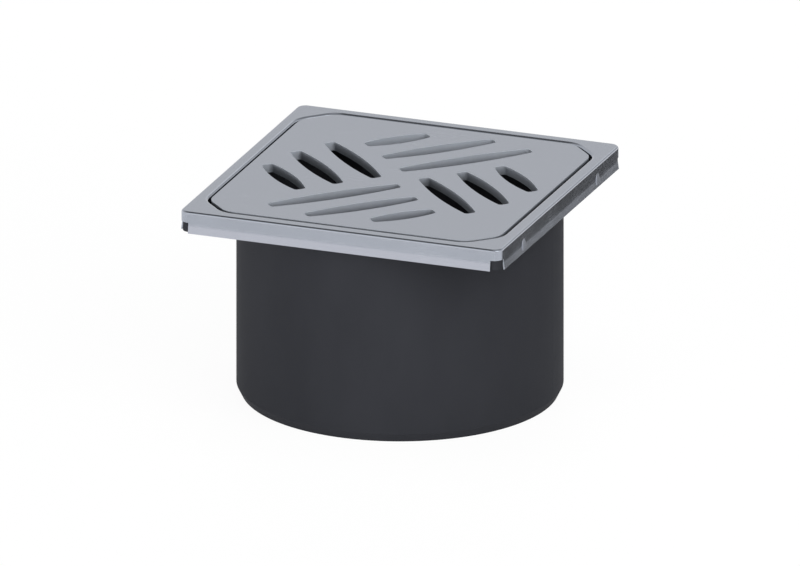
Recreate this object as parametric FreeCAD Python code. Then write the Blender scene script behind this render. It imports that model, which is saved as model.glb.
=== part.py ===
"""Square floor-drain top: a slotted steel grate lying in a folded steel frame on a moulded tube.

Millimetres, +Z up. The origin is the centre of the tube's lower end, and the frame's sides lie
along X and Y. Depths are measured down from the frame's top face, which is the highest face.
"""
import FreeCAD
import Part
import math
import os

V = FreeCAD.Vector

# Overall height, from the tube's lower end to the frame's top face
overall_height = 97.7

# Frame: one folded sheet, with a rim on top, a lip inside and a flared skirt outside.
# A fold is round outside, and has a small bevel inside, where the collar hides it.
# The fold at the lip is the rounder one.
frame_side = 150.0
frame_corner_radius = 4.2
sheet = 0.6
wall_fold_bevel = 0.4
lip_fold_bevel = 0.6
lip_fold_radius = 1.4
rim_width = 6.0
wall_depth = 5.0
flare_angle = 8.0
flare_bend_radius = 12.0
skirt_overhang = 0.3
notch_margin = 0.3

# Opening of the frame: a square with cut and blended corners
corner_leg = 12.52
corner_blend_radius = 10.8

# Gussets pressed outwards into the skirt's bend, two on each of two opposite sides
gusset_from_corner = 29.4
gusset_above_bend = 1.2
gusset_above_edge = 1.4
gusset_top_width = 3.2
gusset_foot_width = 5.4
gusset_rise = 0.35
gusset_side_slope = 0.5

# Grate: a thick plate that lies loose in the opening, a little below the rim's top
grate_gap = 1.15
grate_thickness = 4.0
grate_below_rim = 0.1
grate_edge_break = 0.15

# Slots: bulging sides and blunt ends, in four groups that turn about the middle of the plate.
# Each group has three rows, and each margin is what is left past a row's outer end.
slot_width = 9.4
slot_end_width = 4.8
slot_corner_radius = 1.5
slot_edge_break = 0.1
slot_pitch = 18.27
slot_start = 4.4
long_row_margins = (20.05, 11.05, 16.05)
short_row_margins = (31.9, 18.2, 10.15)

# Body: a round tube with a square collar that fills the frame and carries the grate
tube_inset = 3.5
body_wall = 3.0
collar_pocket_depth = 2.4
collar_edge_break = 0.6
pocket_corner_radius = 0.6
pocket_from_tube = 3.0
fit_clearance = 0.05
lip_clearance = 1.0
bore_edge = 0.8
lead_in_radial = 2.0
lead_in_height = 4.0

# Levels and half sizes that follow from the values above
top = overall_height
half_side = frame_side / 2
opening_half = half_side - rim_width
wall_fold_radius = wall_fold_bevel + sheet
grate_top = top - grate_below_rim
seat_depth = grate_below_rim + grate_thickness
lip_depth = seat_depth - lip_clearance
collar_depth = seat_depth + body_wall + collar_pocket_depth
skirt_depth = collar_depth + skirt_overhang
collar_half = half_side - sheet - fit_clearance
collar_corner_radius = frame_corner_radius - sheet - fit_clearance
tube_radius = half_side - tube_inset
bore_radius = tube_radius - body_wall
# A cutting shape runs this far beyond the face that it opens
past = 2.0


def prism(points, low, high):
    """Upright solid on a closed outline of (x, y) points."""
    corners = [V(x, y, low) for x, y in points]
    return Part.Face(Part.makePolygon(corners + corners[:1])).extrude(V(0, 0, high - low))


def upright_edges(solid):
    """Edges that run straight up."""
    def is_upright(edge):
        start, end = edge.Vertexes[0].Point, edge.Vertexes[-1].Point
        return (start - end).Length > 0.1 and math.hypot(start.x - end.x, start.y - end.y) < 1e-6
    return [edge for edge in solid.Edges if is_upright(edge)]


def face_at(solid, height):
    """The flat face that lies at one height."""
    def is_level(face):
        box = face.BoundBox
        return abs(box.ZMin - height) < 1e-6 and abs(box.ZMax - height) < 1e-6
    return max((face for face in solid.Faces if is_level(face)), key=lambda face: face.Area)


def outline_edges(solid, height):
    """Outer edges of the flat face at one height."""
    return face_at(solid, height).OuterWire.Edges


def hole_edges(solid, height):
    """Edges of the holes in the flat face at one height."""
    face = face_at(solid, height)
    holes = [wire for wire in face.Wires if not wire.isSame(face.OuterWire)]
    return [edge for wire in holes for edge in wire.Edges]


def rounded_square(half, radius, low, high):
    """Square block with rounded upright corners."""
    outline = [(half, half), (-half, half), (-half, -half), (half, -half)]
    block = prism(outline, low, high)
    return block.makeFillet(radius, upright_edges(block))


def opening_block(grow, low, high):
    """Block with the opening's outline, made larger or smaller all round by grow."""
    half = opening_half + grow
    leg = corner_leg + grow * (2 - math.sqrt(2))
    outline = []
    for quarter in range(4):
        turn = quarter * math.pi / 2
        for x, y in ((half, half - leg), (half - leg, half)):
            across = x * math.cos(turn) - y * math.sin(turn)
            along = x * math.sin(turn) + y * math.cos(turn)
            outline.append((across, along))
    block = prism(outline, low, high)
    return block.makeFillet(corner_blend_radius + grow, upright_edges(block))


def turned_about_z(shape, degrees):
    """Copy of a shape, turned about the part's upright axis."""
    copy = shape.copy()
    copy.rotate(V(0, 0, 0), V(0, 0, 1), degrees)
    return copy


def rim_channel():
    """The rim with its lip inside and its plain wall outside, as one folded channel."""
    low = top - wall_depth
    block = rounded_square(half_side, frame_corner_radius, low, top)
    block = block.makeFillet(wall_fold_radius, outline_edges(block, top))
    block = block.cut(opening_block(0, low - past, top + past))
    block = block.makeFillet(lip_fold_radius, hole_edges(block, top))
    return block.cut(channel_hollow(low)).cut(below_lip(low))


def channel_hollow(low):
    """The space inside the folded channel, between the lip and the outer wall."""
    ceiling = top - sheet
    outside = rounded_square(half_side - sheet, frame_corner_radius - sheet, low - past, ceiling)
    hollow = outside.cut(opening_block(sheet, low - 2 * past, ceiling + past))
    hollow = hollow.makeChamfer(wall_fold_bevel, outline_edges(hollow, ceiling))
    return hollow.makeChamfer(lip_fold_bevel, hole_edges(hollow, ceiling))


def below_lip(low):
    """The space under the lip's lower edge."""
    return opening_block(sheet + fit_clearance, low - past, top - lip_depth)


def skirt_profile():
    """Section of the skirt below the plain wall: a slow bend and a straight flare."""
    angle = math.radians(flare_angle)
    start = top - wall_depth
    centre = V(half_side + flare_bend_radius, 0, start)

    def on_bend(radius, turn):
        return centre + V(-radius * math.cos(turn), 0, -radius * math.sin(turn))

    inner_bend_radius = flare_bend_radius + sheet
    down_flare = V(math.sin(angle), 0, -math.cos(angle))
    bend_end = on_bend(flare_bend_radius, angle)
    straight = (bend_end.z - (top - skirt_depth)) / math.cos(angle)
    outer_foot = bend_end + down_flare * straight
    inner_foot = on_bend(inner_bend_radius, angle) + down_flare * straight
    outer_top = on_bend(flare_bend_radius, 0)
    inner_top = on_bend(inner_bend_radius, 0)
    outer_bend = Part.Arc(outer_top, on_bend(flare_bend_radius, angle / 2), bend_end)
    inner_bend = Part.Arc(inner_top, on_bend(inner_bend_radius, angle / 2),
                          on_bend(inner_bend_radius, angle))
    return Part.Wire([
        outer_bend.toShape(),
        Part.makeLine(bend_end, outer_foot),
        Part.makeLine(outer_foot, inner_foot),
        Part.makeLine(inner_foot, on_bend(inner_bend_radius, angle)),
        inner_bend.toShape(),
        Part.makeLine(inner_top, outer_top),
    ])


def skirt_side():
    """The flared skirt along the +X side, which stops short of the rounded corners."""
    half_length = half_side - frame_corner_radius - notch_margin
    panel = Part.Face(skirt_profile()).extrude(V(0, 2 * half_length, 0))
    panel.translate(V(0, -half_length, 0))
    return panel


def flare_offset(height):
    """How far the flare's outside stands out from the plain wall at one height."""
    angle = math.radians(flare_angle)
    corner = top - wall_depth - flare_bend_radius * math.tan(angle / 2)
    return (corner - height) * math.tan(angle)


def gusset(y):
    """Wedge that a press pushes out of the bend on the +X side, at one place along the side."""
    high = top - wall_depth + gusset_above_bend
    low = top - skirt_depth + gusset_above_edge
    root = half_side - sheet / 2

    def outline(x_top, x_foot, narrower):
        half_top = gusset_top_width / 2 - narrower
        half_foot = gusset_foot_width / 2 - narrower
        corners = [
            V(x_top, y - half_top, high),
            V(x_top, y + half_top, high),
            V(x_foot, y + half_foot, low),
            V(x_foot, y - half_foot, low),
        ]
        return Part.makePolygon(corners + corners[:1])

    base = outline(root, root, 0)
    crest = outline(half_side, half_side + flare_offset(low) + gusset_rise, gusset_side_slope)
    return Part.makeLoft([base, crest], True, True)


def frame():
    """Folded frame: channel, four flared skirts and four pressed gussets."""
    solid = rim_channel()
    for quarter in range(4):
        solid = solid.fuse(turned_about_z(skirt_side(), 90 * quarter))
    for side in (0, 180):
        for y in (half_side - gusset_from_corner, gusset_from_corner - half_side):
            wedge = gusset(y)
            hollow = wedge.copy()
            hollow.translate(V(-sheet, 0, 0))
            solid = solid.fuse(turned_about_z(wedge, side)).cut(turned_about_z(hollow, side))
    return solid.removeSplitter()


def slot(near, far, offset):
    """Slot along the direction of a group's rows: two bulging sides between two blunt ends."""
    middle = (near + far) / 2
    half_end = slot_end_width / 2
    bulge = slot_width / 2
    low = top - seat_depth - past
    sides = [
        Part.Arc(V(near, offset - half_end, low), V(middle, offset - bulge, low),
                 V(far, offset - half_end, low)).toShape(),
        Part.makeLine(V(far, offset - half_end, low), V(far, offset + half_end, low)),
        Part.Arc(V(far, offset + half_end, low), V(middle, offset + bulge, low),
                 V(near, offset + half_end, low)).toShape(),
        Part.makeLine(V(near, offset + half_end, low), V(near, offset - half_end, low)),
    ]
    block = Part.Face(Part.Wire(sides)).extrude(V(0, 0, seat_depth + 2 * past))
    return block.makeFillet(slot_corner_radius, upright_edges(block))


def slot_group(margins):
    """Three parallel slots that run out from the middle towards one corner of the plate."""
    plate_half = opening_half - grate_gap
    side_run = plate_half * math.sqrt(2)
    leg = corner_leg - grate_gap * (2 - math.sqrt(2))
    corner_run = side_run - leg / math.sqrt(2)
    slots = []
    for row, margin in enumerate(margins):
        offset = slot_pitch * (row + 0.5)
        far = min(corner_run, side_run - offset) - margin
        slots.append(slot(slot_start, far, offset))
    return slots


def grate():
    """Slotted plate. Each group of slots is turned a quarter from the one before it."""
    plate = opening_block(-grate_gap, grate_top - grate_thickness, grate_top)
    plate = plate.makeChamfer(grate_edge_break, outline_edges(plate, grate_top))
    groups = (long_row_margins, short_row_margins, long_row_margins, short_row_margins)
    for quarter, margins in enumerate(groups):
        for cutter in slot_group(margins):
            plate = plate.cut(turned_about_z(cutter, 45 + 90 * quarter))
    return plate.makeChamfer(slot_edge_break, hole_edges(plate, grate_top))


def tube():
    """Turned profile of the tube wall, with a lead-in at its lower end."""
    collar_low = top - collar_depth
    points = [
        V(bore_radius, 0, 0),
        V(tube_radius - lead_in_radial, 0, 0),
        V(tube_radius, 0, lead_in_height),
        V(tube_radius, 0, collar_low + past),
        V(bore_radius, 0, collar_low + past),
    ]
    section = Part.Face(Part.makePolygon(points + points[:1]))
    return section.revolve(V(0, 0, 0), V(0, 0, 1), 360)


def bore():
    """Space inside the tube, opened by a chamfer where it meets the grate's seat."""
    seat = top - seat_depth
    points = [
        V(0, 0, -past),
        V(bore_radius, 0, -past),
        V(bore_radius, 0, seat - bore_edge),
        V(bore_radius + bore_edge, 0, seat),
        V(0, 0, seat),
    ]
    section = Part.Face(Part.makePolygon(points + points[:1]))
    return section.revolve(V(0, 0, 0), V(0, 0, 1), 360)


def collar():
    """Square collar that fills the frame's channel, with the pocket that the grate lies in."""
    low = top - collar_depth
    high = top - sheet
    block = rounded_square(collar_half, collar_corner_radius, low, high)
    pocket = opening_block(sheet + fit_clearance, top - seat_depth, high + past)
    block = block.cut(pocket)
    edges = outline_edges(block, high) + hole_edges(block, high)
    return block.makeChamfer(collar_edge_break, edges)


def corner_pockets():
    """Moulded recesses under the seat, one in each corner. A level step keeps them off the tube."""
    low = top - collar_depth
    inner_radius = max(collar_corner_radius - body_wall, pocket_corner_radius)
    recess = rounded_square(collar_half - body_wall, inner_radius, low - past,
                            low + collar_pocket_depth)
    core = Part.makeCylinder(tube_radius + pocket_from_tube, collar_pocket_depth + 3 * past,
                             V(0, 0, low - 2 * past))
    return recess.cut(core)


def body():
    """Moulded tube and collar in one piece."""
    solid = collar().fuse(tube())
    return solid.cut(bore()).cut(corner_pockets()).removeSplitter()


def main():
    """Write each piece of the drain top to its own file."""
    os.makedirs("parts", exist_ok=True)
    pieces = {"grate": grate(), "frame": frame(), "tube_body": body()}
    for name, shape in pieces.items():
        shape.exportStep("parts/%s.step" % name)
        box = shape.BoundBox
        print(name, shape.isValid(), len(shape.Solids), round(shape.Volume, 1),
              [round(v, 2) for v in (box.XMin, box.YMin, box.ZMin, box.XMax, box.YMax, box.ZMax)])


main()
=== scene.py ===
"""Looks of the drain grate: satin steel plate and folded frame on a matt black moulded tube.

Metres, +Z up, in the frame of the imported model. The camera is parallel, as in the photograph.
"""
import math

import bpy
from mathutils import Matrix, Vector


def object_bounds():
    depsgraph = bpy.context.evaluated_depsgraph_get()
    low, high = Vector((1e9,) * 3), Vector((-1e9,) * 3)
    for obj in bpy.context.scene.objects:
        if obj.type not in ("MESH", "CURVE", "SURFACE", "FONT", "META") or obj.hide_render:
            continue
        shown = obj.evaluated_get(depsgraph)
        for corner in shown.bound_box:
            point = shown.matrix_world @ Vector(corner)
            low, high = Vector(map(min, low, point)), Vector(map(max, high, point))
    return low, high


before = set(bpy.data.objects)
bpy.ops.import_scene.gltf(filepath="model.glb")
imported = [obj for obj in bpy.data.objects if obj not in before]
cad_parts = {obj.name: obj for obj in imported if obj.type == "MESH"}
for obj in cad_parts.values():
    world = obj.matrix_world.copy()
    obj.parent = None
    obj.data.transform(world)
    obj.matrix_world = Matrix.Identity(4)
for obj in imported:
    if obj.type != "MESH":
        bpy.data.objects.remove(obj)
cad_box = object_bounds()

black = (0.0, 0.0, 0.0, 1.0)
white = (1.0, 1.0, 1.0, 1.0)

# Camera: a parallel view, given by its bearing and height, by the width that it takes in, and by how
# far the picture's centre lies below the middle of the object's top
view_bearing = math.radians(20.7048)
view_height = math.radians(19.4712)
view_width = 0.34937
view_drop = 0.04607
view_distance = 2.5

# Surround, where a level of 1 shows a white surface as white. Rough surfaces are lit at the soft
# level. What is mirrored falls from the horizon's level to the sky's over a band of heights, and the
# surround's colour turns from the horizon's to white over the same band.
soft_level = 0.13
horizon_level = 1.30
sky_level = 0.81
horizon_band = 0.22
horizon_colour = (1.04, 0.995, 0.985, 1.0)

# Patches in what is mirrored, where later ones cover earlier ones. Each has the direction of its
# middle, the dot products with it where the patch starts and where it is full, and its level.
patches = {
    "straight above": ((0.0, 0.13, 0.99), 0.966, 0.990, 0.81),
    "behind": ((0.22, 0.88, 0.42), 0.945, 0.985, 0.64),
    "bright strip": ((-0.10, 0.88, 0.46), 0.990, 0.997, 1.7),
    "front light": ((-0.29, -0.91, 0.29), 0.93, 0.98, 1.25),
    "front right": ((0.76, -0.65, 0.05), 0.95, 0.985, 0.55),
    "corner light": ((0.72, -0.42, 0.55), 0.92, 0.975, 2.4),
}

# Dull ceiling: one more patch, which all the others cover. The folds along X mirror a darker strip in
# it, which keeps near one value of the direction's X. It is full up to the first distance from that
# value, and gone at the second.
ceiling_patch = ((0.0, 0.1, 0.995), 0.58, 0.80)
ceiling_level = 0.36
strip_level = 0.10
strip_x = -0.333
strip_reach = (0.09, 0.22)

# Square soft lamps that point at the origin, each with its place, its side and its power in watts
lamps = {
    "key": ((1.24, -0.84, 1.01), 1.6, 28.5),
    "top": ((0.0, 0.0, 1.6), 1.2, 11.0),
    "low": ((-0.55, -1.32, 0.06), 0.5, 17.0),
    "rear": ((-0.50, 1.36, 0.20), 0.7, 24.0),
}

# Floor: of what is seen of it, the white share is plain white, and the rest is its own lit surface
floor_radius = 0.9
floor_sides = 64
floor_colour = (0.93, 0.93, 0.935, 1.0)
floor_white_share = 0.95

# Cards on the floor that are seen only in reflections, each with two opposite corners (x, y) and a
# grey level: one behind to the right, and one in front
card_height = 0.002
cards = {
    "dark_card": ((0.120, 0.02), (0.270, 0.55), 0.075),
    "front_card": ((-0.35, -0.46), (0.20, -0.28), 0.86),
}

# Noises, each with its features to the metre along three axes, its detail and its roughness. The
# grain's features are 14 mm long and 0.12 mm wide, and the wall marks 6 mm high and 0.3 mm wide.
noises = {
    "steel grain": ((70.0, 8000.0, 0.0), 3.0, 0.65),
    "steel cloud": ((45.0, 60.0, 60.0), 3.0, 0.5),
    "steel pits": ((2600.0, 2600.0, 2600.0), 1.0, 0.5),
    "wall marks": ((3200.0, 3200.0, 160.0), 2.0, 0.5),
    "mould pits": ((2400.0, 2400.0, 2400.0), 2.0, 0.5),
    "plastic cloud": ((30.0, 30.0, 14.0), 3.0, 0.5),
}

# Bands of a noise's values that are stretched over the whole of a finish's range. The wide one is for
# the grain's roughness.
noise_band = (0.3, 0.7)
wide_band = (0.25, 0.75)

# Steel: the two ends of its tone and of its roughness, what the cloud adds to the roughness, the
# shares of the cloud in its tone and of the pits in its relief, and the relief's depth. A face is
# level, or faces along X, where its normal's part that way is above the facing limit.
steel_dark = (0.377, 0.403, 0.458, 1.0)
steel_light = (0.417, 0.446, 0.505, 1.0)
steel_rough = (0.19, 0.27)
steel_cloud_rough = (-0.02, 0.03)
cloud_share = 0.45
pit_share = 0.2
steel_relief = 0.000002
facing_limit = 0.7

# Walls of the cut plate: faces whose normal's upright part is below the limit. Those of the slots lie
# where the larger of |x| and |y|, and the sum of both, are below the two distances. The others are
# the plate's outer walls.
wall_limit = 0.8
slots_half = 0.0665
slots_corner = 0.118
wall_dark = (0.318, 0.342, 0.386, 1.0)
wall_light = (0.375, 0.402, 0.448, 1.0)
wall_rough = (0.56, 0.66)
slot_wall_metallic = 0.10
outer_wall_metallic = 0.50

# Painted shade deep in slots and gaps, which darkens the colour where a place is shut in: how far
# round a place it looks and with how many samples, the openness that counts as full, the power of its
# curve, and the share of the tone that the darkest places of each piece keep
shade_reach = 0.12
shade_samples = 12
shade_open = 0.50
shade_power = 1.4
grate_painted_shade_darkest = 0.0
frame_painted_shade_darkest = 0.60

# Plastic: values of the same kinds, the strength of its relief, and its specular level
plastic_dark = (0.0229, 0.0239, 0.0284, 1.0)
plastic_light = (0.0279, 0.0292, 0.0342, 1.0)
plastic_rough = (0.74, 0.82)
plastic_cloud_rough = (-0.03, 0.03)
plastic_relief = 0.00002
plastic_relief_strength = 0.6
plastic_specular = 0.10

# Sockets of the mix node for each kind of value: its first and second input, and its output
mix_sockets = {"FLOAT": (2, 3, 0), "RGBA": (6, 7, 2)}


class Nodes:
    """Short calls that add nodes to one material, or to the world, and join them."""

    def __init__(self, owner, output="ShaderNodeOutputMaterial"):
        owner.use_nodes = True
        self.owner = owner
        self.tree = owner.node_tree
        self.tree.nodes.clear()
        self.output = self.tree.nodes.new(output)

    def node(self, kind, **settings):
        """New node of a kind, with its settings."""
        made = self.tree.nodes.new(kind)
        for key, value in settings.items():
            setattr(made, key, value)
        return made

    def join(self, source, target):
        """Joins an output to an input."""
        self.tree.links.new(source, target)

    def put(self, socket, value):
        """Joins a socket to another one, or sets it to a plain value."""
        if isinstance(value, bpy.types.NodeSocket):
            self.join(value, socket)
        else:
            socket.default_value = value

    def finished(self, shader):
        """Joins the last shader to the output, and gives the material or world back."""
        self.join(shader, self.output.inputs["Surface"])
        return self.owner

    def math(self, operation, *values, clamp=False):
        """One calculation on one or two values."""
        made = self.node("ShaderNodeMath", operation=operation, use_clamp=clamp)
        for socket, value in zip(made.inputs, values):
            self.put(socket, value)
        return made.outputs[0]

    def vector(self, x, y, z):
        """Vector from three values."""
        made = self.node("ShaderNodeCombineXYZ")
        for socket, value in zip(made.inputs, (x, y, z)):
            self.put(socket, value)
        return made.outputs[0]

    def parts(self, vector):
        """The three values of a vector."""
        made = self.node("ShaderNodeSeparateXYZ")
        self.join(vector, made.inputs[0])
        return made.outputs

    def vector_math(self, operation, vector, values):
        """Node for one calculation on a vector and three plain values."""
        made = self.node("ShaderNodeVectorMath", operation=operation)
        self.join(vector, made.inputs[0])
        made.inputs[1].default_value = values
        return made

    def noise(self, place, name):
        """One of the noises in the table above, with values from 0 to 1."""
        counts, detail, roughness = noises[name]
        scaled = self.vector_math("MULTIPLY", place, counts).outputs[0]
        made = self.node("ShaderNodeTexNoise")
        self.join(scaled, made.inputs["Vector"])
        made.inputs["Scale"].default_value = 1.0
        made.inputs["Detail"].default_value = detail
        made.inputs["Roughness"].default_value = roughness
        return made.outputs["Fac"]

    def span(self, value, low, high, to_low=0.0, to_high=1.0, curve="LINEAR"):
        """The value's range from low to high, stretched onto another range."""
        made = self.node("ShaderNodeMapRange", interpolation_type=curve)
        self.join(value, made.inputs["Value"])
        made.inputs["From Min"].default_value = low
        made.inputs["From Max"].default_value = high
        made.inputs["To Min"].default_value = to_low
        made.inputs["To Max"].default_value = to_high
        return made.outputs[0]

    def mix(self, share, first, second, kind="FLOAT"):
        """The first value where the share is 0, the second where it is 1, and a blend between."""
        first_socket, second_socket, result = mix_sockets[kind]
        made = self.node("ShaderNodeMix", data_type=kind)
        self.put(made.inputs[0], share)
        self.put(made.inputs[first_socket], first)
        self.put(made.inputs[second_socket], second)
        return made.outputs[result]

    def mix_colour(self, share, first, second):
        """The same for two colours."""
        return self.mix(share, first, second, kind="RGBA")

    def mix_shader(self, share, first, second):
        """The same for two shaders."""
        made = self.node("ShaderNodeMixShader")
        for socket, source in zip(made.inputs, (share, first, second)):
            self.join(source, socket)
        return made.outputs[0]

    def matt(self, colour):
        """Plain matt surface."""
        made = self.node("ShaderNodeBsdfDiffuse")
        made.inputs["Color"].default_value = colour
        return made.outputs[0]

    def relief(self, height, depth, strength=1.0):
        """Normal of a surface whose fine relief has this depth."""
        made = self.node("ShaderNodeBump")
        self.join(height, made.inputs["Height"])
        made.inputs["Distance"].default_value = depth
        made.inputs["Strength"].default_value = strength
        return made.outputs[0]

    def principled(self, colour, rough, normal, metallic=0.0):
        """Node of the general surface, with its usual inputs."""
        made = self.node("ShaderNodeBsdfPrincipled")
        self.join(colour, made.inputs["Base Color"])
        self.join(rough, made.inputs["Roughness"])
        self.join(normal, made.inputs["Normal"])
        self.put(made.inputs["Metallic"], metallic)
        return made


def among_slots(nodes, x, y):
    """1 at the walls of the slots, and 0 at the plate's outer walls."""
    far_x = nodes.math("ABSOLUTE", x)
    far_y = nodes.math("ABSOLUTE", y)
    within_sides = nodes.math("LESS_THAN", nodes.math("MAXIMUM", far_x, far_y), slots_half)
    within_corners = nodes.math("LESS_THAN", nodes.math("ADD", far_x, far_y), slots_corner)
    return nodes.math("MULTIPLY", within_sides, within_corners)


def painted_shade_factor(nodes, darkest):
    """Painted shade: share of the tone a place keeps, 1 in the open and the least where it is shut in.
    """
    cover = nodes.node("ShaderNodeAmbientOcclusion", samples=shade_samples, only_local=False)
    cover.inputs["Distance"].default_value = shade_reach
    openness = nodes.span(cover.outputs["AO"], 0.0, shade_open)
    return nodes.mix(nodes.math("POWER", openness, shade_power), darkest, 1.0)


def steel(name, cut_walls, darkest):
    """Satin steel with a fine straight grain, and painted shade in slots and gaps. The cut walls are
    duller, with upright marks.
    """
    nodes = Nodes(bpy.data.materials.new(name))
    place = nodes.node("ShaderNodeTexCoord").outputs["Object"]
    normal = nodes.node("ShaderNodeNewGeometry").outputs["True Normal"]
    x, y, z = nodes.parts(place)
    normal_x, _, normal_z = nodes.parts(normal)
    upright_part = nodes.math("ABSOLUTE", normal_z)
    level = nodes.math("GREATER_THAN", upright_part, facing_limit)
    faces_x = nodes.math("GREATER_THAN", nodes.math("ABSOLUTE", normal_x), facing_limit)

    # The grain runs along X on level faces, and round the sides on upright ones
    along = nodes.mix(faces_x, x, y)
    across = nodes.mix(level, z, y)
    grain = nodes.noise(nodes.vector(along, across, 0.0), "steel grain")
    cloud = nodes.noise(place, "steel cloud")
    pits = nodes.noise(place, "steel pits")
    tone = nodes.span(nodes.mix(cloud_share, grain, cloud), *noise_band)
    colour = nodes.mix_colour(tone, steel_dark, steel_light)
    rough = nodes.math("ADD", nodes.span(grain, *wide_band, *steel_rough),
                       nodes.span(cloud, *noise_band, *steel_cloud_rough))
    height = nodes.mix(pit_share, grain, pits)
    metallic = 1.0

    if cut_walls:
        wall = nodes.math("LESS_THAN", upright_part, wall_limit)
        marks = nodes.noise(place, "wall marks")
        colour = nodes.mix_colour(wall, colour, nodes.mix_colour(marks, wall_dark, wall_light))
        rough = nodes.mix(wall, rough, nodes.span(marks, *noise_band, *wall_rough))
        height = nodes.mix(wall, height, marks)
        wall_metallic = nodes.mix(among_slots(nodes, x, y), outer_wall_metallic, slot_wall_metallic)
        metallic = nodes.mix(wall, metallic, wall_metallic)

    # Painted shade: the colour darkens towards black in slots and gaps, where a place is shut in
    colour = nodes.mix_colour(painted_shade_factor(nodes, darkest), black, colour)
    shader = nodes.principled(colour, rough, nodes.relief(height, steel_relief), metallic)
    return nodes.finished(shader.outputs[0])


def plastic(name):
    """Matt black moulding with the fine even texture of an eroded mould."""
    nodes = Nodes(bpy.data.materials.new(name))
    place = nodes.node("ShaderNodeTexCoord").outputs["Object"]
    pits = nodes.noise(place, "mould pits")
    cloud = nodes.noise(place, "plastic cloud")
    colour = nodes.mix_colour(nodes.span(cloud, *noise_band), plastic_dark, plastic_light)
    rough = nodes.math("ADD", nodes.span(pits, *noise_band, *plastic_rough),
                       nodes.span(cloud, *noise_band, *plastic_cloud_rough))
    normal = nodes.relief(pits, plastic_relief, plastic_relief_strength)
    shader = nodes.principled(colour, rough, normal)
    shader.inputs["Specular IOR Level"].default_value = plastic_specular
    return nodes.finished(shader.outputs[0])


def floor_material():
    """Pale floor that shows nearly white, keeps a soft shadow, and can be seen through from below."""
    nodes = Nodes(bpy.data.materials.new("floor"))
    path = nodes.node("ShaderNodeLightPath").outputs
    seen = nodes.math("ADD", path["Is Camera Ray"], path["Is Glossy Ray"], clamp=True)
    seen = nodes.math("ADD", seen, path["Is Transmission Ray"], clamp=True)
    plain_white = nodes.node("ShaderNodeEmission")
    plain_white.inputs["Color"].default_value = white
    plain_white.inputs["Strength"].default_value = 1.0
    shown = nodes.mix_shader(nodes.math("MULTIPLY", seen, floor_white_share),
                             nodes.matt(floor_colour), plain_white.outputs[0])
    clear = nodes.node("ShaderNodeBsdfTransparent").outputs[0]
    backfacing = nodes.node("ShaderNodeNewGeometry").outputs["Backfacing"]
    from_below = nodes.math("MULTIPLY", backfacing, path["Is Camera Ray"])
    return nodes.finished(nodes.mix_shader(from_below, shown, clear))


def flat_object(name, corners, height, material):
    """New object with one level face, which has these corners (x, y)."""
    mesh = bpy.data.meshes.new(name)
    mesh.from_pydata([(x, y, height) for x, y in corners], [], [tuple(range(len(corners)))])
    mesh.materials.append(material)
    made = bpy.data.objects.new(name, mesh)
    bpy.context.scene.collection.objects.link(made)
    return made


def make_floor():
    """Round floor under the object."""
    turns = [2 * math.pi * side / floor_sides for side in range(floor_sides)]
    rim = [(floor_radius * math.cos(turn), floor_radius * math.sin(turn)) for turn in turns]
    floor = flat_object("floor", rim, 0.0, floor_material())


def make_card(name, low, high, grey):
    """Plain matt card that lies on the floor, seen only in reflections."""
    corners = [(low[0], low[1]), (high[0], low[1]), (high[0], high[1]), (low[0], high[1])]
    nodes = Nodes(bpy.data.materials.new(name))
    matt = nodes.matt((grey, grey, grey, 1.0))
    card = flat_object(name, corners, card_height, nodes.finished(matt))
    card.visible_camera = False
    card.visible_diffuse = False
    card.visible_shadow = False


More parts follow.
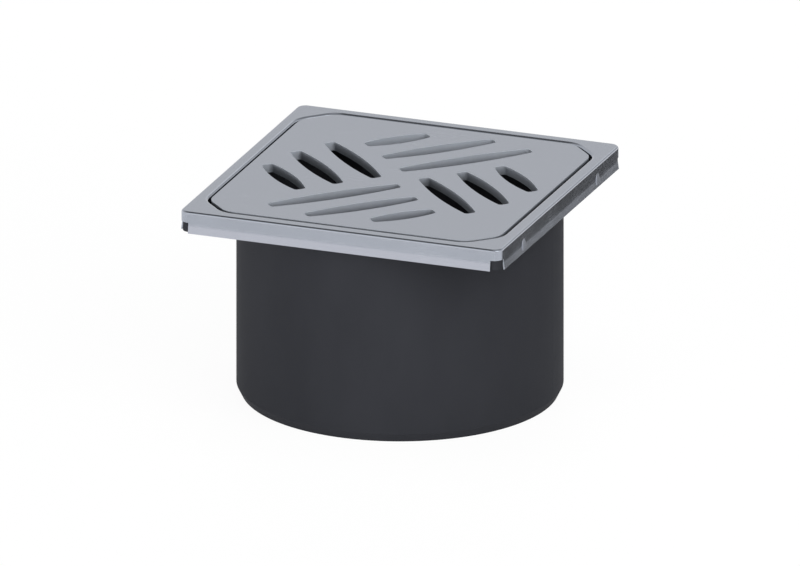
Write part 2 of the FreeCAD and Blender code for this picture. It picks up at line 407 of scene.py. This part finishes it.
def make_world():
    """Even studio surround. What is mirrored of it has a bright horizon, a dull ceiling and patches."""
    world = bpy.data.worlds.new("studio")
    bpy.context.scene.world = world
    nodes = Nodes(world, "ShaderNodeOutputWorld")
    direction = nodes.node("ShaderNodeTexCoord").outputs["Generated"]
    across, _, height = nodes.parts(direction)

    def with_patch(below, middle, start, full, patch_level):
        """What is mirrored, with one more patch over it."""
        nearness = nodes.vector_math("DOT_PRODUCT", direction, middle).outputs["Value"]
        share = nodes.span(nearness, start, full, curve="SMOOTHSTEP")
        return nodes.mix(share, below, patch_level)

    from_strip = nodes.math("ABSOLUTE", nodes.math("SUBTRACT", across, strip_x))
    in_strip = nodes.span(from_strip, *strip_reach, to_low=1.0, to_high=0.0)
    ceiling = nodes.mix(in_strip, ceiling_level, strip_level)
    mirrored = nodes.span(height, 0.0, horizon_band, horizon_level, sky_level)
    mirrored = with_patch(mirrored, *ceiling_patch, ceiling)
    for patch in patches.values():
        mirrored = with_patch(mirrored, *patch)

    # The camera itself sees plain white
    path = nodes.node("ShaderNodeLightPath").outputs
    level = nodes.mix(path["Is Glossy Ray"], soft_level, mirrored)
    whiteness = nodes.math("MAXIMUM", path["Is Camera Ray"], nodes.span(height, 0.0, horizon_band))
    light = nodes.node("ShaderNodeBackground")
    nodes.join(nodes.mix_colour(whiteness, horizon_colour, white), light.inputs["Color"])
    nodes.join(nodes.mix(path["Is Camera Ray"], level, 1.0), light.inputs["Strength"])
    nodes.finished(light.outputs[0])


def make_lamp(name, place, size, power):
    """Square soft lamp that points at the origin and isn't seen in reflections."""
    data = bpy.data.lights.new(name, "AREA")
    data.shape = "SQUARE"
    data.size = size
    data.energy = power
    lamp = bpy.data.objects.new(name, data)
    lamp.location = place
    lamp.rotation_euler = (-Vector(place)).to_track_quat("-Z", "Y").to_euler()
    lamp.visible_glossy = False
    bpy.context.scene.collection.objects.link(lamp)


def make_camera():
    """Parallel camera at the photograph's angle and scale."""
    right = Vector((math.cos(view_bearing), math.sin(view_bearing), 0))
    back = Vector((math.sin(view_bearing) * math.cos(view_height),
                   -math.cos(view_bearing) * math.cos(view_height), math.sin(view_height)))
    up = back.cross(right)
    top_middle = Vector((0, 0, cad_box[1].z))
    place = top_middle - up * view_drop + back * view_distance
    data = bpy.data.cameras.new("camera")
    data.type = "ORTHO"
    data.ortho_scale = view_width
    camera = bpy.data.objects.new("camera", data)
    camera.matrix_world = Matrix.Translation(place) @ Matrix((right, up, back)).transposed().to_4x4()
    bpy.context.scene.collection.objects.link(camera)
    bpy.context.scene.camera = camera


def dress(node, material):
    """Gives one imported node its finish."""
    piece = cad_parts[node]
    piece.data.materials.clear()
    piece.data.materials.append(material)


dress("grate", steel("grate_steel", cut_walls=True, darkest=grate_painted_shade_darkest))
dress("frame", steel("frame_steel", cut_walls=False, darkest=frame_painted_shade_darkest))
dress("tube_body", plastic("black_plastic"))
make_floor()
for card_name, card_values in cards.items():
    make_card(card_name, *card_values)
make_world()
for lamp_name, lamp_values in lamps.items():
    make_lamp(lamp_name, *lamp_values)
make_camera()
bpy.context.scene.view_settings.view_transform = "Standard"
